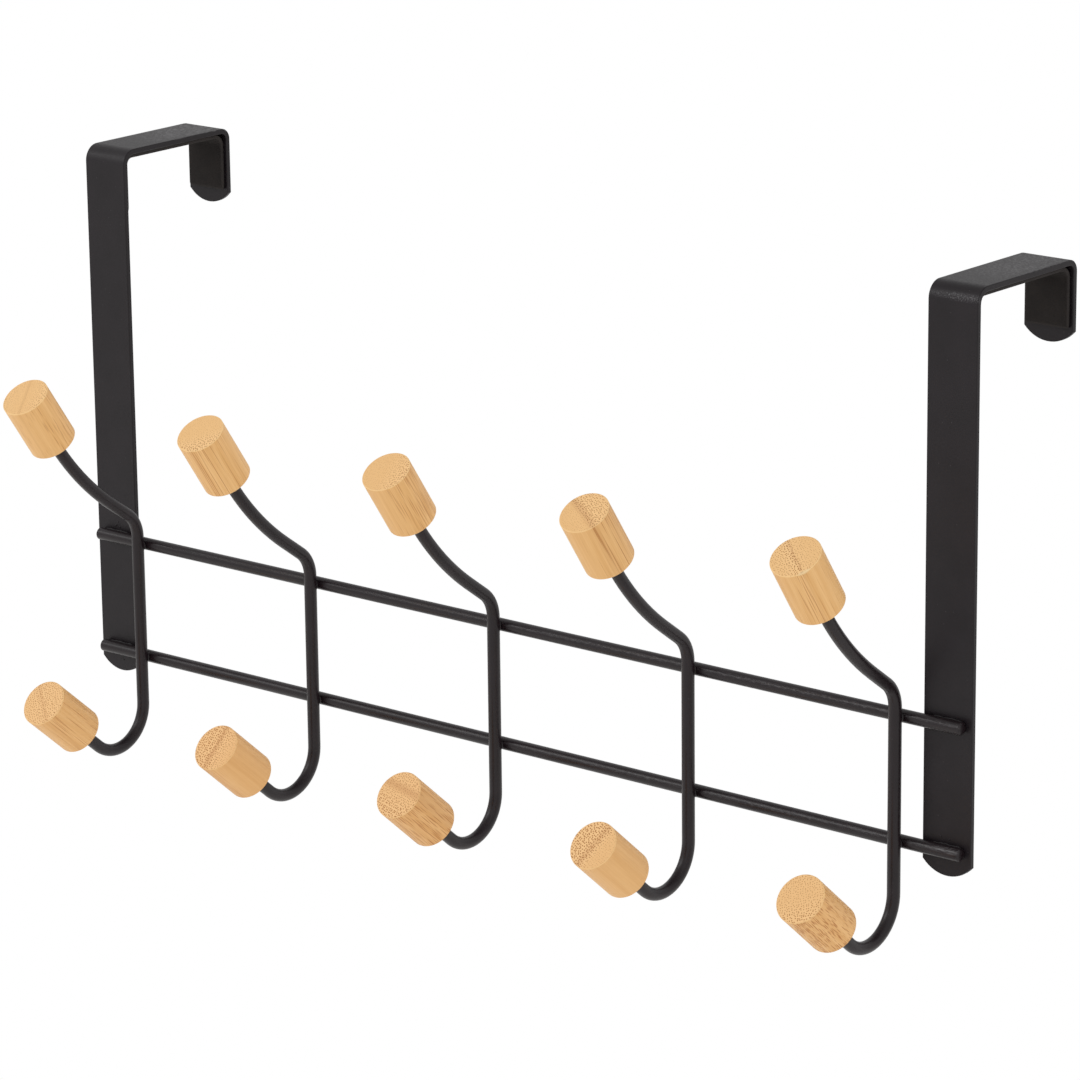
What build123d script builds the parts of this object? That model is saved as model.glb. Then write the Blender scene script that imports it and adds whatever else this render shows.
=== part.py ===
from build123d import *
import os

# Coat rack that hangs over the top of a door: two folded steel straps lined with foam, two wire
# rails across them, and a row of bent wire hooks with a bamboo knob on each end.
# X runs along the rack, Y from the room into the door and Z up, in millimetres. The origin is the
# middle of the door's front top edge: the door's front face is Y = 0 and its top face is Z = 0.

# Door and foam lining
door_gap = 46.0
foam_thickness = 1.6
foam_width = 15.6
foam_front_drop = 18.0
foam_rear_drop = 18.0
foam_front_bend = 2.0
foam_rear_bend = 0.6

# Folded straps
strap_pitch = 351.0
strap_width = 18.0
strap_thickness = 1.8
strap_edge_radius = 0.3
front_leg_drop = 182.2
rear_leg_drop = 23.6
tip_rise = 4.1

# Wire, and how far the welds press one piece into the next
wire_diameter = 4.2
wire_end_chamfer = 0.4
weld_sink = 0.2

# Rails
upper_rail_drop = 133.1
rail_pitch = 40.5
rail_end_inset = 2.3

# Hooks
hook_count = 5
hook_pitch = 80.0
stem_above_rails = 3.4
stem_below_rails = 15.7
arm_bend_radius = 10.8
arm_angle = 35.5
arm_length = 9.4
arm_sweep_radius = 105.0
upper_neck_length = 1.9
upper_knob_angle = 55.5
lower_bend_radius = 13.7
lower_neck_length = 12.0
lower_knob_angle = 40.8

# Knobs
knob_diameter = 16.4
knob_length = 21.7
knob_edge_chamfer = 0.3
knob_bore_depth = 13.0
knob_bore_clearance = 0.1

# Levels and depths that follow from the sizes above
lining_thickness = foam_thickness + strap_thickness
strap_front_y = -lining_thickness
rail_y = strap_front_y - wire_diameter / 2 + weld_sink
stem_y = rail_y - wire_diameter + weld_sink
upper_rail_z = -upper_rail_drop
lower_rail_z = upper_rail_z - rail_pitch
strap_positions = {"left": -strap_pitch / 2, "right": strap_pitch / 2}
rail_levels = {"upper": upper_rail_z, "lower": lower_rail_z}
rail_length = strap_pitch + strap_width - 2 * rail_end_inset
hook_positions = [hook_pitch * (number - (hook_count - 1) / 2) for number in range(hook_count)]

os.makedirs("parts", exist_ok=True)


def save(piece, name):
    """Label a finished piece and write it to a file of the same name."""
    piece.label = name
    export_step(piece, f"parts/{name}.step")


def over_the_door(distance, front_drop, rear_drop):
    """Corner points of a line round the door, at a distance from its front, top and rear faces."""
    return [
        (-distance, -front_drop),
        (-distance, distance),
        (door_gap + distance, distance),
        (door_gap + distance, -rear_drop),
    ]


def bends_at(distance):
    """Radii of the front and the rear bend of a line at a distance from the door."""
    return [foam_front_bend + distance, foam_rear_bend + distance]


# Straps: one strip folded over the door, its ends cut to a shallow arc and its edges broken
strap_middle = foam_thickness + strap_thickness / 2
tip_radius = (strap_width**2 / 4 + tip_rise**2) / (2 * tip_rise)
leg_tips = [(-strap_middle, -front_leg_drop), (door_gap + strap_middle, -rear_leg_drop)]
straps = {}
for side, strap_x in strap_positions.items():
    with BuildPart() as strap:
        with BuildSketch(Plane.YZ.offset(strap_x)):
            with BuildLine():
                FilletPolyline(
                    *over_the_door(strap_middle, front_leg_drop, rear_leg_drop),
                    radius=bends_at(strap_middle),
                )
            trace(line_width=strap_thickness)
        extrude(amount=strap_width / 2, both=True)
        for tip_y, tip_z in leg_tips:
            with BuildSketch(Plane.XZ.offset(-tip_y)):
                with Locations((strap_x, tip_z)):
                    Rectangle(strap_width, tip_rise, align=(Align.CENTER, Align.MIN))
                with Locations((strap_x, tip_z + tip_radius)):
                    Circle(tip_radius, mode=Mode.SUBTRACT)
            extrude(amount=strap_thickness, both=True, mode=Mode.SUBTRACT)
        side_edges = strap.faces().filter_by(Axis.X).edges()
        corner_edges = side_edges.filter_by(lambda edge: edge.center().Z < 0).filter_by(Axis.Y)
        arc_edges = strap.edges().filter_by(GeomType.CIRCLE).filter_by(Plane.XZ)
        fillet(side_edges - corner_edges + arc_edges, radius=strap_edge_radius)
    straps[side] = strap.part
    save(strap.part, f"door_strap_{side}")

# Foam lining: a narrower band glued inside each strap, from the front leg round to the rear leg
lining_middle = foam_thickness / 2
for side, strap_x in strap_positions.items():
    with BuildPart() as lining:
        with BuildSketch(Plane.YZ.offset(strap_x)):
            with BuildLine():
                FilletPolyline(
                    *over_the_door(lining_middle, foam_front_drop, foam_rear_drop),
                    radius=bends_at(lining_middle),
                )
            trace(line_width=foam_thickness)
        extrude(amount=foam_width / 2, both=True)
    save(lining.part, f"foam_lining_{side}")

# Rails: straight wires welded across the front legs, flattened where they sink into the straps
rails = []
for level, rail_z in rail_levels.items():
    with BuildPart() as rail:
        with BuildSketch(Plane.YZ.offset(-rail_length / 2)):
            with Locations((rail_y, rail_z)):
                Circle(wire_diameter / 2)
        extrude(amount=rail_length)
        chamfer(rail.edges().filter_by(GeomType.CIRCLE), length=wire_end_chamfer)
        for strap_part in straps.values():
            add(strap_part, mode=Mode.SUBTRACT)
    rails.append(rail.part)
    save(rail.part, f"{level}_rail")

# Hooks: one wire each, bent from the knob's neck at the foot up through the stem to the upper arm
stem_top_z = upper_rail_z + stem_above_rails
stem_foot_z = lower_rail_z - stem_below_rails
for number, hook_x in enumerate(hook_positions, start=1):
    with BuildPart() as hook_wire:
        with BuildLine(Plane.YZ.offset(hook_x)):
            stem = Line((stem_y, stem_foot_z), (stem_y, stem_top_z))
            arm_bend = JernArc(stem @ 1, stem % 1, arm_bend_radius, 90 - arm_angle)
            arm = PolarLine(arm_bend @ 1, arm_length, direction=arm_bend % 1)
            arm_sweep = JernArc(arm @ 1, arm % 1, arm_sweep_radius, arm_angle - upper_knob_angle)
            upper_neck = PolarLine(arm_sweep @ 1, upper_neck_length, direction=arm_sweep % 1)
            upper_tenon = PolarLine(upper_neck @ 1, knob_bore_depth, direction=upper_neck % 1)
            foot_bend = JernArc(stem @ 0, stem % 0 * -1, lower_bend_radius, -90 - lower_knob_angle)
            lower_neck = PolarLine(foot_bend @ 1, lower_neck_length, direction=foot_bend % 1)
            lower_tenon = PolarLine(lower_neck @ 1, knob_bore_depth, direction=lower_neck % 1)
        with BuildSketch(Plane(origin=lower_tenon @ 1, z_dir=lower_tenon % 1)):
            Circle(wire_diameter / 2)
        sweep()
        wire_ends = hook_wire.faces().filter_by(GeomType.PLANE).edges()
        chamfer(wire_ends, length=wire_end_chamfer)
        for rail_part in rails:
            add(rail_part, mode=Mode.SUBTRACT)
    save(hook_wire.part, f"hook_wire_{number}")

    # Knobs: turned cylinders, drilled from the back and pushed on until the wire meets the bottom
    seats = {"upper": (upper_neck @ 1, upper_neck % 1), "lower": (lower_neck @ 1, lower_neck % 1)}
    for level, (seat, direction) in seats.items():
        knob_back = Plane(origin=seat, x_dir=(1, 0, 0), z_dir=direction)
        with BuildPart() as knob:
            with BuildSketch(knob_back):
                Circle(knob_diameter / 2)
            extrude(amount=knob_length)
            chamfer(knob.edges().filter_by(GeomType.CIRCLE), length=knob_edge_chamfer)
            with BuildSketch(knob_back):
                Circle((wire_diameter + knob_bore_clearance) / 2)
            extrude(amount=knob_bore_depth, mode=Mode.SUBTRACT)
        save(knob.part, f"{level}_knob_{number}")
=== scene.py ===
# %% [markdown]
# # A coat rack that hangs over a door
# Two folded steel straps hook over the top of a door, two wires run across them, and five bent wire
# hooks carry a bamboo knob on each end. The solids come from the CAD model and already have their
# true places, so this lesson only dresses them: it gives them their finishes, and makes the soft foam
# and the small welds as new surfaces. Blender works in metres here, so the rack's sizes are written
# in millimetres times MM. The room's sizes are in metres.

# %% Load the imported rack
import math

import bpy
import numpy as np
from mathutils import Matrix, Vector


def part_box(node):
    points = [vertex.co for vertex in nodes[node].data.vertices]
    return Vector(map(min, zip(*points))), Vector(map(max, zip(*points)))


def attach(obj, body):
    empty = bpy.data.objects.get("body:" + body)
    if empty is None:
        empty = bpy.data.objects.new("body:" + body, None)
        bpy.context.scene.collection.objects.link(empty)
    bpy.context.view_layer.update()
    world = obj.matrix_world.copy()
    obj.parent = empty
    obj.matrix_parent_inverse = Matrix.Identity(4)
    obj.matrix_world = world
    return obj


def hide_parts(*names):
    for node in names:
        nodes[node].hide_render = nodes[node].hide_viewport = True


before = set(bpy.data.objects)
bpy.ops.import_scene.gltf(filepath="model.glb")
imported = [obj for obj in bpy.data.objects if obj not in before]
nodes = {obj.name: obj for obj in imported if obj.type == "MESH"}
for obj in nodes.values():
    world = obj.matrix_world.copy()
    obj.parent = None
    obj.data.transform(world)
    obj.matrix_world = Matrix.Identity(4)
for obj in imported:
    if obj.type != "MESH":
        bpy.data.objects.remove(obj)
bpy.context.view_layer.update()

MM = 0.001
print("nodes in the frame:", len(nodes))

# %% [markdown]
# ## The camera
# The photograph was taken from the rack's right, a little above it, with a long lens. The angles
# below come from a fit to the straight edges of the straps, the wires and the rims of the knobs. A
# camera can also be placed by one matrix, but a point to aim at, two angles, a distance and a slight
# roll say more to a reader.

# %% Place the camera
aim_point = Vector((12.84, -0.60, -103.49)) * MM
camera_turn = math.radians(39.716)
camera_rise = math.radians(15.667)
camera_roll = math.radians(-0.650)
camera_distance = 1607.3 * MM
sensor_width = 36.0
focal_length = 165.98

toward_camera = Vector((
    math.sin(camera_turn) * math.cos(camera_rise),
    -math.cos(camera_turn) * math.cos(camera_rise),
    math.sin(camera_rise),
))
level_right = Vector((math.cos(camera_turn), math.sin(camera_turn), 0.0))
level_up = toward_camera.cross(level_right)
camera_right = level_right * math.cos(camera_roll) + level_up * math.sin(camera_roll)
camera_up = level_up * math.cos(camera_roll) - level_right * math.sin(camera_roll)
camera_axes = Matrix((camera_right, camera_up, toward_camera)).transposed().to_4x4()

camera = bpy.data.objects.new("camera", bpy.data.cameras.new("camera"))
camera.data.sensor_width = sensor_width
camera.data.lens = focal_length
camera.matrix_world = Matrix.Translation(aim_point + toward_camera * camera_distance) @ camera_axes
bpy.context.scene.collection.objects.link(camera)
bpy.context.scene.camera = camera
print("camera at", [round(value, 3) for value in camera.matrix_world.translation])

# %% [markdown]
# ## Helpers for materials
# Colours are written as sRGB hex values, the way a colour picker shows them, and Blender's sockets
# want linear light. A node tree can be built with a line for each node, each setting and each link.
# Here one small function does all three in one call, so that a material reads as a list of its parts.

# %% Colour and node helpers
# A Mix node has sockets for every kind of value, so those for colours are chosen by number: three inputs
# and, last, the output.
SHARE = 0
COLOUR_A = 6
COLOUR_B = 7
MIXED = 2


def linear(hex_colour):
    """sRGB hex to linear RGBA: c / 12.92 near black, else ((c + 0.055) / 1.055) to the power 2.4."""
    parts = np.array([int(hex_colour[start:start + 2], 16) for start in (1, 3, 5)]) / 255
    values = np.where(parts <= 0.04045, parts / 12.92, ((parts + 0.055) / 1.055) ** 2.4)
    return (*values.tolist(), 1.0)


def add_node(tree, kind, inputs=None, grey_stops=(), **options):
    """Adds a node, sets its options and a ramp's grey stops, and fills or links its inputs."""
    node = tree.nodes.new(kind)
    for option, value in options.items():
        setattr(node, option, value)
    for socket, value in (inputs or {}).items():
        if isinstance(value, bpy.types.NodeSocket):
            tree.links.new(value, node.inputs[socket])
        else:
            node.inputs[socket].default_value = value
    if grey_stops:
        while len(node.color_ramp.elements) < len(grey_stops):
            node.color_ramp.elements.new(0.5)
        for stop, (position, grey) in zip(node.color_ramp.elements, grey_stops):
            stop.position = position
            stop.color = (grey, grey, grey, 1.0)
    return node


def new_material(name):
    """A material with an empty tree."""
    material = bpy.data.materials.new(name)
    material.use_nodes = True
    material.node_tree.nodes.clear()
    return material


print("the coat's black in linear light:", [round(value, 4) for value in linear("#373435")])

# %% [markdown]
# ## White tent
# Product photographs like this are taken in a white tent, where light comes from everywhere. A white
# world does that. A black coat shows mostly reflections. In the photograph its upper bends are dark,
# as in a tent that is open at the top, and its top faces are a little dimmer than its fronts, so the
# back wall got less light. A model of the tent could be reflected, but a sky that changes with the
# ray's direction is simpler. Glossy rays meet that sky here, matte surfaces get even light, and the
# camera sees plain white.

# %% White world
even_light = 0.98
sky_by_height = ((0.0, 0.80), (0.50, 0.80), (0.70, 0.95), (0.83, 0.85), (0.95, 0.45), (1.0, 0.40))
back_wall_level = 0.80
front_ends = -0.1
back_starts = 0.6

world = bpy.data.worlds.new("white tent, open at the top")
bpy.context.scene.world = world
world.use_nodes = True
tent = world.node_tree
tent.nodes.clear()
ray_direction = add_node(tent, "ShaderNodeTexCoord").outputs["Object"]
ray_parts = add_node(tent, "ShaderNodeSeparateXYZ", {0: ray_direction})
ray_height = add_node(tent, "ShaderNodeMapRange", {"Value": ray_parts.outputs["Z"], "From Min": -1.0})
sky = add_node(tent, "ShaderNodeValToRGB", {"Fac": ray_height.outputs[0]}, sky_by_height)
depth = add_node(tent, "ShaderNodeMapRange", {
    "Value": ray_parts.outputs["Y"], "From Min": front_ends, "From Max": back_starts,
    "To Min": 1.0, "To Max": back_wall_level})
reflected = add_node(tent, "ShaderNodeMath", {0: sky.outputs[0], 1: depth.outputs[0]}, operation="MULTIPLY")
ray_kind = add_node(tent, "ShaderNodeLightPath")
on_object = add_node(tent, "ShaderNodeMapRange", {
    "Value": ray_kind.outputs["Is Glossy Ray"], "To Min": even_light, "To Max": reflected.outputs[0]})
brightness = add_node(tent, "ShaderNodeMapRange", {
    "Value": ray_kind.outputs["Is Camera Ray"], "To Min": on_object.outputs[0], "To Max": 1.0})
wall = add_node(tent, "ShaderNodeBackground", {
    "Color": linear("#FFFFFF"), "Strength": brightness.outputs[0]})
add_node(tent, "ShaderNodeOutputWorld", {"Surface": wall.outputs[0]})
print("sky in reflections, from below to overhead:", [level for height, level in sky_by_height])

# %% [markdown]
# ## Light panel
# Along the wires the photograph has one soft streak, from a lamp to the left of the camera and above
# it. A point lamp would give a hard line. A large area lamp gives a streak that is as soft as the
# real one, and it is weak, so that the tent still gives most of the light.

# %% Light panel
panel_place = Vector((-0.90, -1.04, 0.80))
rack_middle = Vector((0.0, 0.0, -0.1))
panel_width = 1.1
panel_height = 0.5
panel_watts = 4.0

lamp = bpy.data.lights.new("left panel", "AREA")
lamp.shape = "RECTANGLE"
lamp.size = panel_width
lamp.size_y = panel_height
lamp.energy = panel_watts
panel = bpy.data.objects.new("left panel", lamp)
panel_facing = (panel_place - rack_middle).to_track_quat("Z", "Y")
panel.matrix_world = Matrix.Translation(panel_place) @ panel_facing.to_matrix().to_4x4()
bpy.context.scene.collection.objects.link(panel)
bpy.context.scene.view_settings.view_transform = "Standard"
print(lamp.name, lamp.energy, "W")

# %% [markdown]
# ## Floor
# The rack hangs in the air in the photograph, on white with no shadow. A pale round floor far below
# it closes the room in other views. Paint alone would look grey there, so the camera sees white that
# fades in from a spot under the rack, and only that spot keeps a faint shadow.

# %% Floor
floor_level = -0.42
floor_radius = 1.6
floor_corners = 96

rim_angles = np.linspace(0.0, 2 * np.pi, floor_corners, endpoint=False)
floor_rim = np.stack([
    floor_radius * np.cos(rim_angles),
    floor_radius * np.sin(rim_angles),
    np.full(floor_corners, floor_level),
], axis=1)
floor_mesh = bpy.data.meshes.new("floor")
floor_mesh.from_pydata(floor_rim.tolist(), [], [list(range(floor_corners))])
floor = bpy.data.objects.new("floor", floor_mesh)
bpy.context.scene.collection.objects.link(floor)
print("floor at", floor_level, "m, radius", floor_radius, "m")

# %% Floor paint
shadow_inner_radius = 0.05
shadow_outer_radius = 0.30
white_in_shadow = 0.6

floor_paint = new_material("pale matte floor paint")
paint_tree = floor_paint.node_tree
floor_place = add_node(paint_tree, "ShaderNodeTexCoord").outputs["Object"]
flat_place = add_node(paint_tree, "ShaderNodeVectorMath", {0: floor_place, 1: (1.0, 1.0, 0.0)},
                      operation="MULTIPLY")
from_middle = add_node(paint_tree, "ShaderNodeVectorMath", {0: flat_place.outputs[0]}, operation="LENGTH")
fade = add_node(paint_tree, "ShaderNodeMapRange", {
    "Value": from_middle.outputs["Value"], "From Min": shadow_inner_radius, "From Max": shadow_outer_radius,
    "To Min": white_in_shadow, "To Max": 1.0}, interpolation_type="SMOOTHSTEP")
seen_by = add_node(paint_tree, "ShaderNodeLightPath")
white_share = add_node(paint_tree, "ShaderNodeMath", {
    0: seen_by.outputs["Is Camera Ray"], 1: fade.outputs[0]}, operation="MULTIPLY")
matte = add_node(paint_tree, "ShaderNodeBsdfDiffuse", {"Color": linear("#F2F1EF")})
white = add_node(paint_tree, "ShaderNodeEmission", {"Color": linear("#FFFFFF"), "Strength": 1.0})
painted = add_node(paint_tree, "ShaderNodeMixShader", {
    0: white_share.outputs[0], 1: matte.outputs[0], 2: white.outputs[0]})
add_node(paint_tree, "ShaderNodeOutputMaterial", {"Surface": painted.outputs[0]})
floor_mesh.materials.append(floor_paint)
print(floor_paint.name, "with", len(paint_tree.nodes), "nodes")

# %% [markdown]
# ## Worn places and painted highlights in a coat
# Where a coat is rubbed, its tips lose their black and show as pale grains or scratches. Wear could
# be painted on the mesh, but a CAD mesh stays as it is. So a worn place is an ellipsoid in space, and
# noise inside it says which grains are pale. Long thin noise gives scratches, and even noise gives
# grain. The same pale spots also paint highlights into the coat's colour, where it catches light.

# %% Worn places and painted highlights
pale_wear_and_highlight_colour = linear("#6A686A")
full_share_within = 0.4
grain_range = (0.48, 0.66)


def add_wear_and_highlight(tree, place, film, spot):
    """The film mixed with a pale colour of wear and painted highlight, by noise times the spot's share at
    that distance from its middle.

    The distance is counted in half sizes of the spot. The share is full near the middle and falls to 0 at
    1.
    """
    offset = add_node(tree, "ShaderNodeMapping", {
        "Vector": place, "Location": Vector(spot["middle"]) * MM, "Scale": Vector(spot["half_sizes"]) * MM},
        vector_type="TEXTURE")
    distance = add_node(tree, "ShaderNodeVectorMath", {0: offset.outputs[0]}, operation="LENGTH")
    spot_share = add_node(tree, "ShaderNodeMapRange", {
        "Value": distance.outputs["Value"], "From Min": 1.0, "From Max": full_share_within,
        "To Max": spot["strength"]})
    stretched = add_node(tree, "ShaderNodeMapping", {
        "Vector": place, "Scale": Vector(spot["grain_noise"]) * MM}, vector_type="TEXTURE")
    grain_noise = add_node(tree, "ShaderNodeTexNoise", {
        "Vector": stretched.outputs[0], "Scale": 1.0, "Detail": 3.0, "Roughness": 0.7})
    pale_grains = add_node(tree, "ShaderNodeMapRange", {
        "Value": grain_noise.outputs[0], "From Min": grain_range[0], "From Max": grain_range[1],
        "To Max": spot_share.outputs[0]})
    return add_node(tree, "ShaderNodeMix", {
        SHARE: pale_grains.outputs[0], COLOUR_A: film, COLOUR_B: pale_wear_and_highlight_colour}, data_type="RGBA").outputs[MIXED]


# The same share also sets where a painted highlight is full.
print("wear is full within", full_share_within, "of a spot's size")

# %% [markdown]
# ## Satin black powder coat
# The steel is powder coated: a dry paint that is sprayed on and baked. It is a dark plastic film, so
# most of what the eye sees is a soft reflection of the room, which turns pale on the straps' top
# faces and dark beside a wire. It is grainy like orange peel, and has rare specks of dust. One flat
# colour would look like a drawing, so noise changes the film's tone, gloss and height. The real grain
# is about 0.3 mm, which is less than a pixel here, so it is drawn at 0.6 mm.

# %% Powder coat
coat_grain = 0.6 * MM
coat_patch = 9.0 * MM
coat_bump = 0.05 * MM
# Noise seldom leaves this range.
noise_low = 0.3
noise_high = 0.7
speck_pitch = 3.2 * MM
speck_range = (0.03, 0.07)
speck_colour = linear("#343032")


def powder_coat(name, film_colours, specular, roughness, drawn_lines=None, pale_spots=()):
    """Black satin film: noise for patches and grain, specks at the middles of Voronoi cells, worn places
    and painted highlights.

    On drawn wire, noise that is stretched along the wire is added to the grain's height.
    """
    material = new_material(name)
    tree = material.node_tree
    place = add_node(tree, "ShaderNodeTexCoord").outputs["Object"]
    grain = add_node(tree, "ShaderNodeTexNoise", {
        "Vector": place, "Scale": 1 / coat_grain, "Detail": 3.0, "Roughness": 0.6}).outputs[0]
    patch = add_node(tree, "ShaderNodeTexNoise", {"Vector": place, "Scale": 1 / coat_patch, "Detail": 2.0})
    tone = add_node(tree, "ShaderNodeMapRange", {
        "Value": patch.outputs[0], "From Min": noise_low, "From Max": noise_high})
    film = add_node(tree, "ShaderNodeMix", {
        SHARE: tone.outputs[0], COLOUR_A: linear(film_colours[0]), COLOUR_B: linear(film_colours[1])},
        data_type="RGBA").outputs[MIXED]
    dust = add_node(tree, "ShaderNodeTexVoronoi", {"Vector": place, "Scale": 1 / speck_pitch})
    speck = add_node(tree, "ShaderNodeMapRange", {
        "Value": dust.outputs["Distance"], "From Min": speck_range[0], "From Max": speck_range[1],
        "To Min": 1.0, "To Max": 0.0})
    film = add_node(tree, "ShaderNodeMix", {
        SHARE: speck.outputs[0], COLOUR_A: film, COLOUR_B: speck_colour},
        data_type="RGBA").outputs[MIXED]
    # Pale spots: real wear, and painted highlights on the straps and rails.
    for spot in pale_spots:
        film = add_wear_and_highlight(tree, place, film, spot)
    height = grain
    if drawn_lines:
        drawn = add_node(tree, "ShaderNodeMapping", {"Vector": place, "Scale": drawn_lines})
        lines = add_node(tree, "ShaderNodeTexNoise", {
            "Vector": drawn.outputs[0], "Scale": 1.0, "Detail": 2.0})
        height = add_node(tree, "ShaderNodeMath", {0: lines.outputs[0], 1: grain}).outputs[0]
    gloss = add_node(tree, "ShaderNodeMapRange", {
        "Value": grain, "From Min": noise_low, "From Max": noise_high,
        "To Min": roughness[0], "To Max": roughness[1]})
    bump = add_node(tree, "ShaderNodeBump", {"Height": height, "Strength": 0.25, "Distance": coat_bump})
    shader = add_node(tree, "ShaderNodeBsdfPrincipled", {
        "Base Color": film, "Roughness": gloss.outputs[0], "IOR": 1.5, "Specular IOR Level": specular,
        "Normal": bump.outputs[0]})
    add_node(tree, "ShaderNodeOutputMaterial", {"Surface": shader.outputs[0]})
    return material


print("coat grain in mm:", round(coat_grain / MM, 2))

# %% [markdown]
# ## Which steel gets which coat
# Strip and wire have the same kind of coat, but the drawn wire is smoother and shines a little more.
# The pale spots are these: the rear halves of the strap tops are rubbed and painted lighter, a
# highlight standing in for the light on their bow; the right strap's front bend has a sparkling line of
# worn grain over a painted highlight band; each rail has a painted grainy highlight along its side
# towards the light that fades to the left; and the lower rail's right end is scratched. One coat could
# hold all of that, but four short ones are easier to read and to change.

# %% Worn places and painted highlights of this rack
# Middles, half sizes and sizes of the grain noise are in mm.
# Scratches on the left top, and its rear half painted lighter as a highlight on the bow.
worn_and_lit_top_left = {
    "middle": (-175.5, 38.0, 3.4), "half_sizes": (14.0, 28.0, 0.5),
    "grain_noise": (0.6, 1.8, 0.6), "strength": 0.85}
# Grain on the right top, and its rear half painted lighter as a highlight on the bow.
worn_and_lit_top_right = {
    "middle": (175.5, 34.0, 3.4), "half_sizes": (14.0, 30.0, 0.5),
    "grain_noise": (0.8, 0.8, 0.8), "strength": 0.60}
# A painted highlight band on the right strap's front bend, broken into worn grain.
worn_bend_highlight = {
    "middle": (178.0, -3.0, -0.1), "half_sizes": (13.0, 3.0, 1.5),
    "grain_noise": (0.4, 0.4, 0.4), "strength": 0.6}
# A painted highlight along each rail, grainy and fading to the left.
upper_rail_highlight = {
    "middle": (110.0, -7.1, -132.1), "half_sizes": (200.0, 1.0, 0.9),
    "grain_noise": (1.8, 0.35, 0.35), "strength": 0.32}
lower_rail_highlight = {**upper_rail_highlight, "middle": (110.0, -7.1, -172.6)}
worn_rail_end = {
    "middle": (177.0, -6.8, -172.4), "half_sizes": (8.0, 1.6, 1.4),
    "grain_noise": (4.0, 0.3, 0.3), "strength": 0.8}
rail_wear_and_highlights = [upper_rail_highlight, lower_rail_highlight, worn_rail_end]
# The two rail lines are painted highlights; the scratches at the lower rail's end are real wear.
print("strengths of the wear on the rails:", [spot["strength"] for spot in rail_wear_and_highlights])

# %% Coat the steel
strip_film = ("#140E12", "#191317")
wire_film = ("#160E11", "#1C1317")
strip_specular = 0.30
rail_specular = 0.36
hook_specular = 0.35
strip_roughness = (0.38, 0.50)
rail_roughness = (0.26, 0.36)
hook_roughness = (0.28, 0.38)
drawn_line_length = 18 * MM
drawn_line_width = 0.5 * MM
drawn_along_x = (1 / drawn_line_length, 1 / drawn_line_width, 1 / drawn_line_width)

left_coat = powder_coat("satin black powder coat on the left strip", strip_film, strip_specular,
                        strip_roughness, pale_spots=[worn_and_lit_top_left])
right_coat = powder_coat("satin black powder coat on the right strip", strip_film, strip_specular,
                         strip_roughness, pale_spots=[worn_and_lit_top_right, worn_bend_highlight])
rail_coat = powder_coat("satin black powder coat on rails", wire_film, rail_specular, rail_roughness,
                        drawn_along_x, rail_wear_and_highlights)
hook_coat = powder_coat("satin black powder coat on hooks", wire_film, hook_specular, hook_roughness)
coats = {
    "door_strap_left": left_coat,
    "door_strap_right": right_coat,
    "upper_rail": rail_coat,
    "lower_rail": rail_coat,
    "hook_wire": hook_coat,
}
for start, coat in coats.items():
    coated = [name for name in nodes if name.startswith(start)]
    for name in coated:
        nodes[name].material_slots[0].material = coat
    print(coat.name, "on", coated)

# %% [markdown]
# ## Bamboo knobs: directions and masks
# The knobs are turned from laminated bamboo. Strips of the culm's wall are glued side by side, and
# the fibres run along the knob. A material reads places in the rack's own axes, so they are first
# moved to the knob's middle and turned until z runs along the knob and x across the strips. Then z
# alone tells an end from a side, and the thin rim between them, which is sanded pale and also gets a
# painted highlight. UV maps could do this too, but the CAD meshes stay as they are.

# %% Knob directions and masks
knob_half = 21.7 / 2 * MM
knob_radius = 8.2 * MM
rim_width = 0.35 * MM
# The rim is sanded pale, and the paleness also paints in a highlight along it.
rim_paleness_and_highlight = 0.55
end_fade = (0.10 * MM, 0.02 * MM)


def knob_directions(tree, middle, angle, turn):
    """Object coordinates less the knob's middle, turned back by its slope about x and turn about z."""
    place = add_node(tree, "ShaderNodeTexCoord").outputs["Object"]
    axes = Matrix.Rotation(math.pi / 2 - angle, 3, "X") @ Matrix.Rotation(math.radians(turn), 3, "Z")
    return add_node(tree, "ShaderNodeMapping", {
        "Vector": place, "Location": middle, "Rotation": axes.to_euler()},
        vector_type="TEXTURE").outputs[0]


def end_masks(tree, along):
    """Two shares of the distance along the knob: 1 on its flat ends, and near their rims a pale sanding
    with a painted highlight.
    """
    from_middle = add_node(tree, "ShaderNodeMath", {0: along}, operation="ABSOLUTE").outputs[0]
    on_end = add_node(tree, "ShaderNodeMapRange", {
        "Value": from_middle, "From Min": knob_half - end_fade[0], "From Max": knob_half - end_fade[1]})
    pale_lit_rim = add_node(tree, "ShaderNodeMapRange", {
        "Value": from_middle, "From Min": knob_half - rim_width, "From Max": knob_half - 0.5 * rim_width,
        "To Max": rim_paleness_and_highlight})
    return on_end.outputs[0], pale_lit_rim.outputs[0]


print("knob length and radius in mm:", round(2 * knob_half / MM, 2), round(knob_radius / MM, 2))

# %% [markdown]
# ## Bamboo knobs: fibre bundles
# A culm's wall has brown fibre bundles, dense near its skin and sparse inside. A bundle is a dot on
# the end of a knob and a dash along its side. So the ends read a flat pattern of cells and the sides
# one that is stretched along the knob, and both take their size from one ramp of density across the
# strips. Drawn one by one they would take hundreds of numbers, while Voronoi cells scatter them by
# themselves. The real bundles are about 0.6 mm apart. Those vanish in the render, so the dots are
# drawn 0.80 mm apart.

# %% Fibre bundles
bundle_pitch = 0.80 * MM
bundle_scatter = 0.68
dot_sizes = (0.10, 0.31)
dot_edge = (-0.04, 0.07)
largest_dash_size = 0.40
dash_edge = (-0.08, 0.10)
# A knob's seed shifts its patterns by these multiples of it.
dot_shift = np.array([1.0, 1.7, 0.0])
dash_shift = np.array([1.0, 1.7, 0.3])


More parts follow.
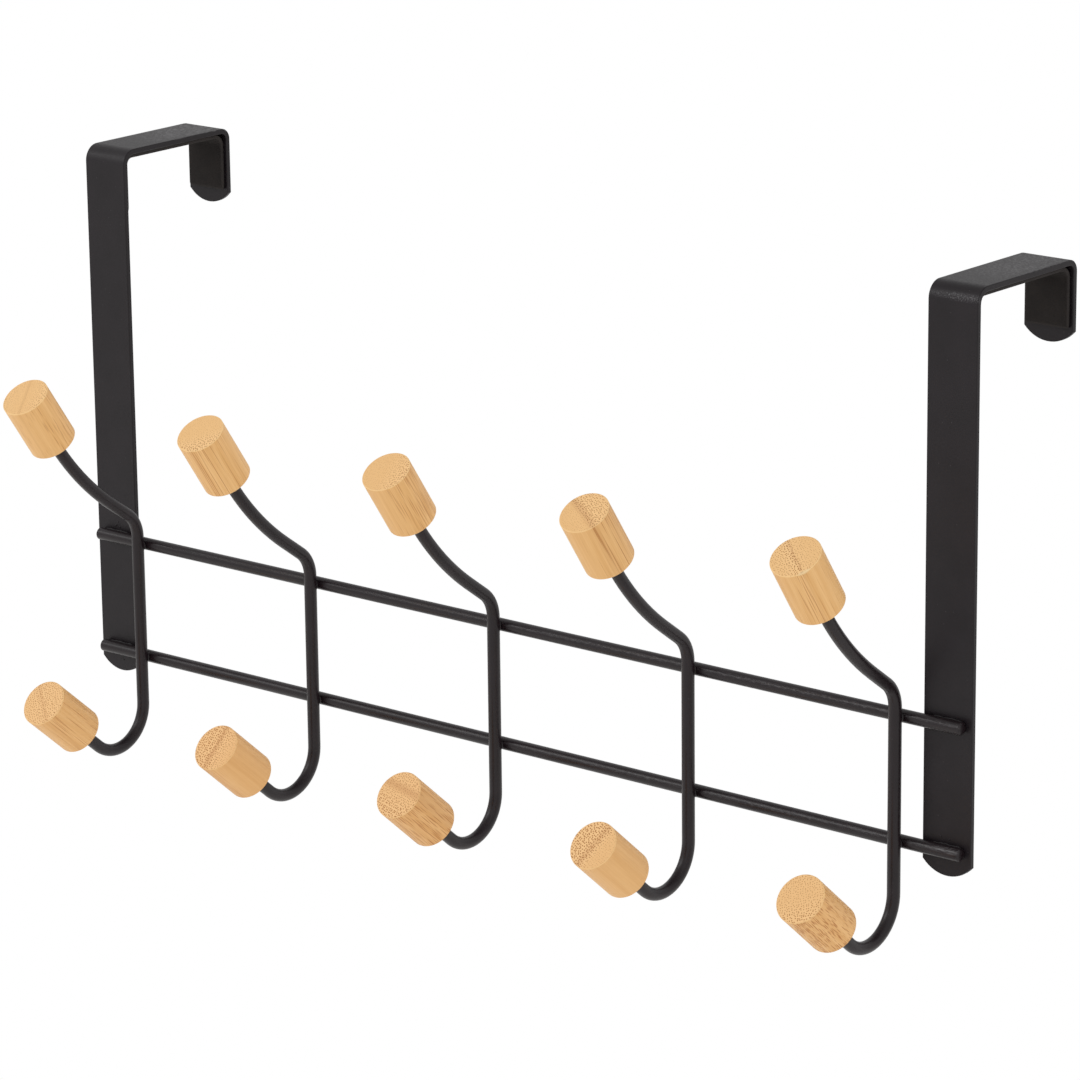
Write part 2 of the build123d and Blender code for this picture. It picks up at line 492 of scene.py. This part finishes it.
def bundle_dots(tree, own, dense, seed):
    """Flat Voronoi cells, dark where the distance to a middle is under a size that grows with density."""
    dot_size = add_node(tree, "ShaderNodeMapRange", {
        "Value": dense, "To Min": dot_sizes[0], "To Max": dot_sizes[1]})
    cells = add_node(tree, "ShaderNodeMapping", {
        "Vector": own, "Location": seed * dot_shift,
        "Scale": (1 / bundle_pitch, 1 / bundle_pitch, 0.0)})
    bundles = add_node(tree, "ShaderNodeTexVoronoi", {
        "Vector": cells.outputs[0], "Scale": 1.0, "Randomness": bundle_scatter}, voronoi_dimensions="2D")
    inside = add_node(tree, "ShaderNodeMath", {0: dot_size.outputs[0], 1: bundles.outputs["Distance"]},
                      operation="SUBTRACT")
    return add_node(tree, "ShaderNodeMapRange", {
        "Value": inside.outputs[0], "From Min": dot_edge[0], "From Max": dot_edge[1]}).outputs[0]


def bundle_dashes(tree, own, dense, seed, dash):
    """The same with cells in space that are as wide and as long as a dash, times the dashes' strength."""
    length, width, strength, least_size = dash
    dash_size = add_node(tree, "ShaderNodeMapRange", {
        "Value": dense, "To Min": least_size, "To Max": largest_dash_size})
    cells = add_node(tree, "ShaderNodeMapping", {
        "Vector": own, "Location": seed * dash_shift,
        "Scale": (1 / (width * MM), 1 / (width * MM), 1 / (length * MM))})
    bundles = add_node(tree, "ShaderNodeTexVoronoi", {"Vector": cells.outputs[0], "Scale": 1.0})
    inside = add_node(tree, "ShaderNodeMath", {0: dash_size.outputs[0], 1: bundles.outputs["Distance"]},
                      operation="SUBTRACT")
    return add_node(tree, "ShaderNodeMapRange", {
        "Value": inside.outputs[0], "From Min": dash_edge[0], "From Max": dash_edge[1],
        "To Max": strength}).outputs[0]


print("bundles across a knob's end:", round(2 * knob_radius / bundle_pitch))

# %% [markdown]
# ## Bamboo knobs: grain, glue and a frayed rim
# Between the bundles the wood has fine fibres and broader, slow bands of tone, both long along the
# knob. Wood with few bundles is calmer, so density also narrows the tones. The glue between two
# strips is a soft brown line, strong on the end and fainter along the side. One knob has a small
# frayed chip where its seam meets the rim. A mesh could be cut for the glue and the chip, but a CAD
# mesh stays as it is. So each of these is a share from 0 to 1 that later mixes two colours.

# %% Grain, glue and fraying
fibre_width = 0.30 * MM
fibre_length = 16.0 * MM
band_width = 1.8 * MM
band_length = 60.0 * MM
fibre_shift = np.array([3.1, 1.0, 0.0])
band_shift = np.array([1.0, 2.3, 1.0])
tone_range = (0.68, 1.22)
calm_tones = (0.36, 0.80)
glue_on_side = 0.45
fray_range = (1.5, 1.0)
fray_strength = 0.55


def wood_grain(tree, own, dense, seed):
    """Fine fibre noise, and a tone: the sum of fibre and band noise, narrowed where bundles are sparse."""
    fine = add_node(tree, "ShaderNodeMapping", {
        "Vector": own, "Location": seed * fibre_shift,
        "Scale": (1 / fibre_width, 1 / fibre_width, 1 / fibre_length)})
    fibre = add_node(tree, "ShaderNodeTexNoise", {"Vector": fine.outputs[0], "Scale": 1.0, "Detail": 2.0})
    broad = add_node(tree, "ShaderNodeMapping", {
        "Vector": own, "Location": seed * band_shift,
        "Scale": (1 / band_width, 1 / band_width, 1 / band_length)})
    band = add_node(tree, "ShaderNodeTexNoise", {"Vector": broad.outputs[0], "Scale": 1.0, "Detail": 1.0})
    both = add_node(tree, "ShaderNodeMath", {0: band.outputs[0], 1: fibre.outputs[0]})
    darkest = add_node(tree, "ShaderNodeMapRange", {"Value": dense, "To Min": calm_tones[0], "To Max": 0.0})
    palest = add_node(tree, "ShaderNodeMapRange", {"Value": dense, "To Min": calm_tones[1], "To Max": 1.0})
    tone = add_node(tree, "ShaderNodeMapRange", {
        "Value": both.outputs[0], "From Min": tone_range[0], "From Max": tone_range[1],
        "To Min": darkest.outputs[0], "To Max": palest.outputs[0]})
    return fibre.outputs[0], tone.outputs[0]


def glue_line(tree, across, on_end, seam):
    """A share that falls smoothly from the seam's strength at its middle to 0 at its half width."""
    seam_place, seam_width, seam_strength = seam
    strength = add_node(tree, "ShaderNodeMapRange", {
        "Value": on_end, "To Min": glue_on_side * seam_strength, "To Max": seam_strength})
    off_seam = add_node(tree, "ShaderNodeMath", {0: across, 1: seam_place * MM}, operation="SUBTRACT")
    distance = add_node(tree, "ShaderNodeMath", {0: off_seam.outputs[0]}, operation="ABSOLUTE")
    return add_node(tree, "ShaderNodeMapRange", {
        "Value": distance.outputs[0], "From Min": 0.0, "From Max": seam_width * MM,
        "To Min": strength.outputs[0], "To Max": 0.0}, interpolation_type="SMOOTHSTEP").outputs[0]


def frayed_rim(tree, own, fibre, chip):
    """A share inside an ellipsoid whose edge is broken up by adding fibre noise to the distance."""
    chip_middle, chip_half_sizes = chip
    offset = add_node(tree, "ShaderNodeMapping", {
        "Vector": own, "Location": Vector(chip_middle) * MM, "Scale": Vector(chip_half_sizes) * MM},
        vector_type="TEXTURE")
    distance = add_node(tree, "ShaderNodeVectorMath", {0: offset.outputs[0]}, operation="LENGTH")
    broken = add_node(tree, "ShaderNodeMath", {0: distance.outputs["Value"], 1: fibre})
    return add_node(tree, "ShaderNodeMapRange", {
        "Value": broken.outputs[0], "From Min": fray_range[0], "From Max": fray_range[1],
        "To Max": fray_strength}).outputs[0]


print("fibres in mm:", round(fibre_width / MM, 2), "wide and", round(fibre_length / MM, 1), "long")

# %% [markdown]
# ## Bamboo knobs: the wood itself
# Dry bamboo is pale yellow, sanded but not varnished, so it is matte with a faint sheen. The eye
# knows it by its dots and dashes. A picture of bamboo could be wrapped round the knobs, but a formula
# can differ from knob to knob. The colours are mixed in layers: first those of the side and those of
# the end, then the glue and one warm tint over both. The marks are also a little rougher and lower
# than the wood around them, because the vessels in a bundle are open pores.

# %% Bamboo
bamboo_bump = 0.05 * MM
bamboo_roughness = (0.48, 0.62)
bamboo_colours = {
    "side_dark": linear("#D6A05C"), "side_pale": linear("#EBBC7E"), "dash": linear("#AC6E34"),
    "end_dark": linear("#DDAE71"), "end_pale": linear("#E3B67A"), "end_dense": linear("#EBC086"),
    "dot": linear("#9C652E"), "rim": linear("#F3D29A"), "glue": linear("#A8713A"),
    "warm": linear("#CC8640"), "frayed": linear("#EAD2A3"),
}


def bamboo(name, middle, angle, seed, turn, seam, dash, warmth, density, chip=None):
    """Bamboo in a knob's own directions: each layer mixes one colour over another by its share."""
    material = new_material(name)
    tree = material.node_tree
    own = knob_directions(tree, middle, angle, turn)
    part = add_node(tree, "ShaderNodeSeparateXYZ", {0: own})
    on_end, pale_lit_rim = end_masks(tree, part.outputs["Z"])
    across = add_node(tree, "ShaderNodeMapRange", {
        "Value": part.outputs["X"], "From Min": -knob_radius, "From Max": knob_radius})
    dense = add_node(tree, "ShaderNodeValToRGB", {"Fac": across.outputs[0]}, density).outputs[0]
    dots = bundle_dots(tree, own, dense, seed)
    dashes = bundle_dashes(tree, own, dense, seed, dash)
    fibre, tone = wood_grain(tree, own, dense, seed)
    glue = glue_line(tree, part.outputs["X"], on_end, seam)

    # A layer has the name of the colour it makes, its share, and the colours under and over it.
    layers = [
        ("side", tone, "side_dark", "side_pale"),
        ("side", dashes, "side", "dash"),
        # The rim's colour is sanded wood with a painted highlight.
        ("side", pale_lit_rim, "side", "rim"),
        ("end", tone, "end_dark", "end_pale"),
        ("end", dense, "end", "end_dense"),
        ("end", dots, "end", "dot"),
        ("wood", on_end, "side", "end"),
        ("wood", glue, "wood", "glue"),
        ("wood", warmth, "wood", "warm"),
    ]
    if chip:
        layers.append(("wood", frayed_rim(tree, own, fibre, chip), "wood", "frayed"))
    colours = dict(bamboo_colours)
    for made, share, under, over in layers:
        colours[made] = add_node(tree, "ShaderNodeMix", {
            SHARE: share, COLOUR_A: colours[under], COLOUR_B: colours[over]},
            data_type="RGBA").outputs[MIXED]

    marks = add_node(tree, "ShaderNodeMapRange", {
        "Value": on_end, "To Min": dashes, "To Max": dots}).outputs[0]
    gloss = add_node(tree, "ShaderNodeMapRange", {
        "Value": marks, "To Min": bamboo_roughness[0], "To Max": bamboo_roughness[1]})
    height = add_node(tree, "ShaderNodeMath", {0: fibre, 1: marks}, operation="SUBTRACT")
    bump = add_node(tree, "ShaderNodeBump", {
        "Height": height.outputs[0], "Strength": 0.2, "Distance": bamboo_bump})
    shader = add_node(tree, "ShaderNodeBsdfPrincipled", {
        "Base Color": colours["wood"], "Roughness": gloss.outputs[0], "IOR": 1.48,
        "Normal": bump.outputs[0]})
    add_node(tree, "ShaderNodeOutputMaterial", {"Surface": shader.outputs[0]})
    return material


print("colours in the bamboo:", len(bamboo_colours))

# %% [markdown]
# ## Ten different knobs
# No two knobs are cut from the same place, so each has its own turn, seam, dashes, warmth and
# density. One bamboo for all would look printed. The rows below are read from the photograph, knob
# by knob. A seed shifts the noise, so that even knobs with like rows differ.

# %% Rows for the ten knobs
# turn: of the strips, in degrees. seam: its place and half width in mm, and its strength. dash: length and
# width in mm, strength and least size. density: stops from one rim of the knob to the other.
no_seam = (9.9, 0.5, 0.0)
knob_looks = {
    "upper_knob_1": {
        "turn": 21, "seam": (0.0, 1.0, 0.18), "dash": (12, 0.45, 0.75, 0.06), "warmth": 0.00,
        "density": ((0.0, 0.50), (0.30, 0.25), (0.55, 0.15), (1.0, 0.60))},
    "upper_knob_2": {
        "turn": -56, "seam": no_seam, "dash": (40, 0.38, 0.70, 0.06), "warmth": 0.00,
        "density": ((0.0, 0.0), (0.52, 0.05), (0.80, 0.70), (1.0, 0.90))},
    "upper_knob_3": {
        "turn": 6, "seam": no_seam, "dash": (16, 0.42, 0.60, 0.06), "warmth": 0.03,
        "density": ((0.0, 0.05), (0.45, 0.08), (0.72, 0.45), (1.0, 0.90))},
    "upper_knob_4": {
        "turn": 58, "seam": (-0.2, 2.2, 0.34), "dash": (40, 0.45, 0.80, 0.06), "warmth": 0.02,
        "density": ((0.0, 0.0), (0.42, 0.15), (0.47, 0.85), (1.0, 0.50))},
    "upper_knob_5": {
        "turn": 50, "seam": (-0.3, 0.9, 0.24), "dash": (24, 0.40, 0.68, 0.06), "warmth": 0.00,
        "density": ((0.0, 0.25), (0.22, 0.45), (0.40, 0.75), (0.48, 1.0), (0.53, 0.45), (0.75, 0.18)),
        "chip": ((0.2, -8.1, 10.7), (2.6, 0.9, 0.6))},
    "lower_knob_1": {
        "turn": 43, "seam": (-0.3, 1.2, 0.26), "dash": (25, 0.45, 0.80, 0.06), "warmth": 0.11,
        "density": ((0.0, 0.45), (0.46, 0.68), (0.54, 0.66), (1.0, 0.50))},
    "lower_knob_2": {
        "turn": -6, "seam": (0.0, 1.5, 0.40), "dash": (14, 0.50, 0.30, 0.06), "warmth": 0.20,
        "density": ((0.0, 0.90), (0.48, 1.0), (0.60, 0.85), (1.0, 0.05))},
    "lower_knob_3": {
        "turn": 79, "seam": (2.4, 2.4, 0.40), "dash": (9, 0.40, 0.80, 0.24), "warmth": 0.17,
        "density": ((0.0, 1.0), (0.26, 0.92), (0.40, 0.68), (0.62, 0.45), (0.75, 0.65), (1.0, 0.65))},
    "lower_knob_4": {
        "turn": -21, "seam": (0.2, 1.8, 0.32), "dash": (14, 0.50, 0.30, 0.06), "warmth": 0.11,
        "density": ((0.0, 0.95), (0.55, 1.0), (0.70, 0.25), (1.0, 0.05))},
    "lower_knob_5": {
        "turn": -62, "seam": no_seam, "dash": (4.5, 0.34, 0.95, 0.23), "warmth": 0.10,
        "density": ((0.0, 0.50), (0.45, 0.32), (0.75, 0.60), (1.0, 0.95))},
}
print("knobs without a seam:", sum(look["seam"] == no_seam for look in knob_looks.values()))

# %% Give the knobs their bamboo
upper_angle = math.radians(55.5)
lower_angle = math.radians(40.8)
first_seed = 1.0
seed_step = 2.37

for count, (name, look) in enumerate(knob_looks.items()):
    low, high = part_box(name)
    angle = upper_angle if name.startswith("upper") else lower_angle
    seed = first_seed + seed_step * count
    wood = bamboo(f"turned bamboo, {name}", (low + high) / 2, angle, seed, **look)
    nodes[name].material_slots[0].material = wood
print("bamboo knobs:", len(knob_looks))

# %% [markdown]
# ## Surfaces from arrays
# Each new piece is a grid of points: rings of a profile, one after another along a path. Modelling
# tools could draw them, but a formula gives the same surface each time and says how it was made. One
# helper joins the rings with quads, closes both ends with a face, and makes the object. No loop runs
# over single points.

# %% Grid helper
sharp_angle = math.radians(50)


def signed_volume(mesh):
    """A sixth of the sum of a . (b x c) over the triangles, which is positive when faces point outwards."""
    mesh.calc_loop_triangles()
    corners = np.zeros(len(mesh.loop_triangles) * 3, int)
    mesh.loop_triangles.foreach_get("vertices", corners)
    places = np.zeros(len(mesh.vertices) * 3)
    mesh.vertices.foreach_get("co", places)
    a, b, c = places.reshape(-1, 3)[corners.reshape(-1, 3)].transpose(1, 0, 2)
    return float(np.sum(a * np.cross(b, c)) / 6)


def piece_from_rings(name, groups, material):
    """Closed tubes from arrays of shape (rings, points, 3): quads between rings and a face on each end."""
    points = []
    faces = []
    first = 0
    for rings in groups:
        count, around = rings.shape[:2]
        index = first + np.arange(count * around).reshape(count, around)
        after = np.roll(index, -1, axis=1)
        quads = np.stack([index[:-1], index[1:], after[1:], after[:-1]], axis=-1).reshape(-1, 4)
        faces += quads.tolist()
        faces += [index[0].tolist(), index[-1, ::-1].tolist()]
        points.append(rings.reshape(-1, 3))
        first += count * around
    mesh = bpy.data.meshes.new(name)
    mesh.from_pydata(np.concatenate(points).tolist(), [], faces)
    mesh.polygons.foreach_set("use_smooth", np.ones(len(mesh.polygons), bool))
    mesh.set_sharp_from_angle(angle=sharp_angle)
    mesh.materials.append(material)
    mesh.update()
    piece = bpy.data.objects.new(name, mesh)
    bpy.context.scene.collection.objects.link(piece)
    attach(piece, "root")
    print(name, "faces", len(faces), "volume in mm3", round(signed_volume(mesh) / MM ** 3, 1))
    return piece


print("edges sharper than", round(math.degrees(sharp_angle)), "degrees stay sharp")

# %% [markdown]
# ## Foam lining: its material
# A band of closed-cell foam is glued inside each strap so that the steel doesn't mark the door. It is
# black and very rough, with a thin skin and fine pores. Its edges are painted slightly paler, a painted
# highlight where they round over. The eye sees little more than its softness beside the steel. The real
# pores are about 0.2 mm, too fine to show, so they are drawn at 0.45 mm, as bumps rather than as holes.

# %% Foam material
foam_width = 15.6 * MM
foam_drop = 18.0 * MM
strap_place = 175.5 * MM
# The foam's edges get a painted highlight this wide.
pale_edge_width = 0.6 * MM
side_edge_highlight = 0.22
end_edge_highlight = 0.18
pore_pitch = 0.45 * MM
pore_depth = 0.12 * MM
foam_cloud = 4.0 * MM

foam_material = new_material("black closed-cell foam sheet")
foam_tree = foam_material.node_tree
foam_place = add_node(foam_tree, "ShaderNodeTexCoord").outputs["Object"]
cloud = add_node(foam_tree, "ShaderNodeTexNoise", {
    "Vector": foam_place, "Scale": 1 / foam_cloud, "Detail": 3.0})
cloud_tone = add_node(foam_tree, "ShaderNodeMapRange", {
    "Value": cloud.outputs[0], "From Min": noise_low, "From Max": noise_high})
skin = add_node(foam_tree, "ShaderNodeMix", {
    SHARE: cloud_tone.outputs[0], COLOUR_A: linear("#150F0D"), COLOUR_B: linear("#1D1714")},
    data_type="RGBA")
foam_parts = add_node(foam_tree, "ShaderNodeSeparateXYZ", {0: foam_place})
from_rack_middle = add_node(foam_tree, "ShaderNodeMath", {0: foam_parts.outputs["X"]},
                            operation="ABSOLUTE")
off_strap = add_node(foam_tree, "ShaderNodeMath", {0: from_rack_middle.outputs[0], 1: strap_place},
                     operation="SUBTRACT")
from_strap_middle = add_node(foam_tree, "ShaderNodeMath", {0: off_strap.outputs[0]},
                             operation="ABSOLUTE")
# Painted highlight along the band's sides and its lower ends.
side_highlight = add_node(foam_tree, "ShaderNodeMapRange", {
    "Value": from_strap_middle.outputs[0], "From Min": foam_width / 2 - pale_edge_width,
    "From Max": foam_width / 2, "To Max": side_edge_highlight})
end_highlight = add_node(foam_tree, "ShaderNodeMapRange", {
    "Value": foam_parts.outputs["Z"], "From Min": -foam_drop + pale_edge_width, "From Max": -foam_drop,
    "To Max": end_edge_highlight})
edge_highlight = add_node(foam_tree, "ShaderNodeMath", {0: side_highlight.outputs[0], 1: end_highlight.outputs[0]},
               operation="MAXIMUM")
highlighted_skin = add_node(foam_tree, "ShaderNodeMix", {
    SHARE: edge_highlight.outputs[0], COLOUR_A: skin.outputs[MIXED], COLOUR_B: linear("#474241")},
    data_type="RGBA")
pores = add_node(foam_tree, "ShaderNodeTexVoronoi", {"Vector": foam_place, "Scale": 1 / pore_pitch})
pore_bump = add_node(foam_tree, "ShaderNodeBump", {
    "Height": pores.outputs["Distance"], "Strength": 0.3, "Distance": pore_depth})
foam_shader = add_node(foam_tree, "ShaderNodeBsdfPrincipled", {
    "Base Color": highlighted_skin.outputs[MIXED], "Roughness": 0.85, "IOR": 1.45, "Specular IOR Level": 0.42,
    "Normal": pore_bump.outputs[0]})
add_node(foam_tree, "ShaderNodeOutputMaterial", {"Surface": foam_shader.outputs[0]})
print(foam_material.name, "with", len(foam_tree.nodes), "nodes")

# %% [markdown]
# ## Foam lining: its shape
# The band is cut from sheet and bent into the strap by hand, so its edges are soft and it bridges the
# tight rear corner in a wider curve, which leaves a dark gap between foam and steel there. Cloth
# simulation suits a slack cushion. This band is thin, tight and glued down, so a rounded strip is
# carried along its fold.

# %% Middle line of the foam
foam_thickness = 1.6 * MM
door_gap = 46.0 * MM
front_bend = 2.0 * MM + foam_thickness / 2
rear_bend = 3.0 * MM + foam_thickness / 2
ring_step = 0.8 * MM
bend_rings = 13


def over_the_door():
    """Middle line of the foam: up the front, an arc, along the top, an arc and down the rear."""
    half = foam_thickness / 2
    turn = np.linspace(0.0, np.pi / 2, bend_rings)
    front_y = -half + front_bend - front_bend * np.cos(turn)
    front_z = half - front_bend + front_bend * np.sin(turn)
    rear_y = door_gap + half - rear_bend + rear_bend * np.sin(turn)
    rear_z = half - rear_bend + rear_bend * np.cos(turn)
    up = np.arange(-foam_drop, front_z[0] - ring_step / 2, ring_step)
    over = np.arange(front_y[-1], rear_y[0], ring_step)[1:]
    down = -np.arange(-rear_z[-1], foam_drop + ring_step / 2, ring_step)[1:]
    y = np.concatenate([
        np.full(up.size, -half), front_y, over, rear_y, np.full(down.size, door_gap + half)])
    z = np.concatenate([up, front_z, np.full(over.size, half), rear_z, down])
    return np.stack([y, z], axis=1)


foam_line = over_the_door()
print("rings along a foam band:", len(foam_line))

# %% Foam bands
profile_points = 72
corner_power = 0.25
last_ring_share = 0.80
next_ring_share = 0.97


def foam_rings(strap_x):
    """A rounded rectangle, a superellipse of power 8, carried along the middle line of the foam.

    The last two rings at each end are drawn in, which rounds the cut ends.
    """
    along = np.gradient(foam_line, axis=0)
    along /= np.linalg.norm(along, axis=1, keepdims=True)
    outward = np.stack([-along[:, 1], along[:, 0]], axis=1)
    angle = np.linspace(0.0, 2 * np.pi, profile_points, endpoint=False)
    wide = np.sign(np.cos(angle)) * np.abs(np.cos(angle)) ** corner_power * foam_width / 2
    thick = np.sign(np.sin(angle)) * np.abs(np.sin(angle)) ** corner_power * foam_thickness / 2
    share = np.ones(len(foam_line))
    share[[0, -1]] = last_ring_share
    share[[1, -2]] = next_ring_share
    x = strap_x + wide[None, :] * (1 - (1 - share[:, None]) * foam_thickness / foam_width)
    lift = thick[None, :] * share[:, None]
    y = foam_line[:, None, 0] + outward[:, None, 0] * lift
    z = foam_line[:, None, 1] + outward[:, None, 1] * lift
    return np.stack([np.broadcast_to(x, y.shape), y, z], axis=-1)


strap_sides = {"left": -strap_place, "right": strap_place}
for side, strap_x in strap_sides.items():
    band = piece_from_rings(f"foam_band_{side}", [foam_rings(strap_x)], foam_material)
    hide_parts(f"foam_lining_{side}")

# %% [markdown]
# ## Welds: shapes
# The wires are resistance welded: pressed together and heated until they melt where they meet, which
# squeezes out a little metal. Under the coat that shows as a hollow fillet along the rails on the
# straps, a thin lens where a stem crosses a rail, and a few beads of spatter. A bevel between two
# solids would need them joined, so a fillet is an arc that touches strap and rail, carried along the
# rail, and a bead is a squashed ball.

# %% Weld fillets
wire_radius = 2.1 * MM
weld_sink = 0.2 * MM
strap_face = -3.4 * MM
rail_stand = wire_radius - weld_sink
fillet_radius = 0.36 * MM
fillet_root = 0.25 * MM
fillet_rings = 49
arc_points = 9
slow_ripple = 0.14
slow_waves = 2
quick_ripple = 0.06
quick_waves = 5
end_power = 8
least_end = 0.02
inner_share = 0.3


def weld_fillet(from_x, to_x, rail_z, above, phase):
    """The arc of a circle that touches the strap's plane and the rail, carried along x.

    It is closed inside the metal. Its radius swells and shrinks by two sines and draws in at both ends.
    It lies over the rail where above is 1 and under it where above is -1.
    """
    along = np.linspace(0.0, 1.0, fillet_rings)
    drawn_in = np.sqrt(np.clip(1 - (2 * along - 1) ** end_power, least_end, 1.0))
    slow = slow_ripple * np.sin(2 * np.pi * slow_waves * along + phase)
    quick = quick_ripple * np.sin(2 * np.pi * quick_waves * along + 2 * phase)
    radius = (fillet_radius * drawn_in * (1 + slow + quick))[:, None]
    reach = np.sqrt((wire_radius + radius) ** 2 - (rail_stand - radius) ** 2)
    last_angle = np.arctan2(-reach, radius - rail_stand)
    angle = last_angle * np.linspace(0.0, 1.0, arc_points)[None, :]
    y = strap_face - radius + radius * np.cos(angle)
    z = reach + radius * np.sin(angle)
    inner_y = np.full((fillet_rings, 1), strap_face + fillet_root)
    rail_share = (wire_radius - fillet_root) / (wire_radius + radius)
    y = np.hstack([y, strap_face - rail_stand + (rail_stand - radius) * rail_share, inner_y, inner_y])
    z = np.hstack([z, reach * rail_share, np.full_like(reach, inner_share * wire_radius), reach])
    x = np.broadcast_to((from_x + (to_x - from_x) * along)[:, None], y.shape)
    rings = np.stack([x, y, rail_z + above * z], axis=-1)
    return rings if above < 0 else rings[:, ::-1]


print("rails stand off the straps by", round(rail_stand / MM, 2), "mm")

# %% Beads
bead_rings = 11
bead_points = 24
bead_opening = 0.12
bead_wave = 0.10


def bead(place, half_sizes, phase):
    """An ellipsoid around the y axis, its outline waved by a sine of twice the angle."""
    polar = np.linspace(bead_opening, np.pi - bead_opening, bead_rings)[:, None]
    angle = np.linspace(0.0, 2 * np.pi, bead_points, endpoint=False)[None, :]
    wave = 1 + bead_wave * np.sin(2 * angle + phase)
    x = place[0] + half_sizes[0] * np.sin(polar) * np.cos(angle) * wave
    y = np.broadcast_to(place[1] - half_sizes[1] * np.cos(polar), x.shape)
    z = place[2] + half_sizes[2] * np.sin(polar) * np.sin(angle) * wave
    return np.stack([x, y, z], axis=-1)


print("points in a bead:", bead_rings * bead_points)

# %% [markdown]
# ## Welds: places
# Each rail is welded to each strap along a fillet above it and one below it, with some spatter beside
# them. The hooks are welded where their stems cross the rails. The welds could be made part of the
# wires, but those are CAD solids and stay as they are, so the welds sit on them as thin pieces of
# their own, in the same coat.

# %% Welds on the straps
rail_levels = (-133.1 * MM, -173.6 * MM)
weld_half = 5.5 * MM
fillet_phase = 1.3
bead_flatness = 0.6
# Each bead of spatter has its x, its z and its half size, in mm.
spatter = {
    "left": ((-175.9, -129.6, 0.42), (-175.0, -128.4, 0.30),
             (-174.1, -129.9, 0.34), (-174.6, -178.2, 0.36)),
    "right": ((176.6, -170.2, 0.32), (173.4, -169.7, 0.28)),
}
fillet_places = [(level, above) for level in rail_levels for above in (1, -1)]
for side, strap_x in strap_sides.items():
    fillets = [
        weld_fillet(strap_x - weld_half, strap_x + weld_half, level, above, fillet_phase * count)
        for count, (level, above) in enumerate(fillet_places)
    ]
    beads = [
        bead((x * MM, strap_face, z * MM), (size * MM, bead_flatness * size * MM, size * MM), x)
        for x, z, size in spatter[side]
    ]
    piece_from_rings(f"rail_welds_{side}", fillets + beads, left_coat)

# %% Welds between hooks and rails
hook_pitch = 80.0 * MM
lens_half_sizes = (1.75 * MM, 0.70 * MM, 1.75 * MM)
lens_phase = 0.9
meeting_y = strap_face - rail_stand - wire_radius + weld_sink / 2
lenses = [
    bead((number * hook_pitch, meeting_y, level), lens_half_sizes, lens_phase * number + level / MM)
    for number in range(-2, 3) for level in rail_levels
]
piece_from_rings("hook_welds", lenses, hook_coat)
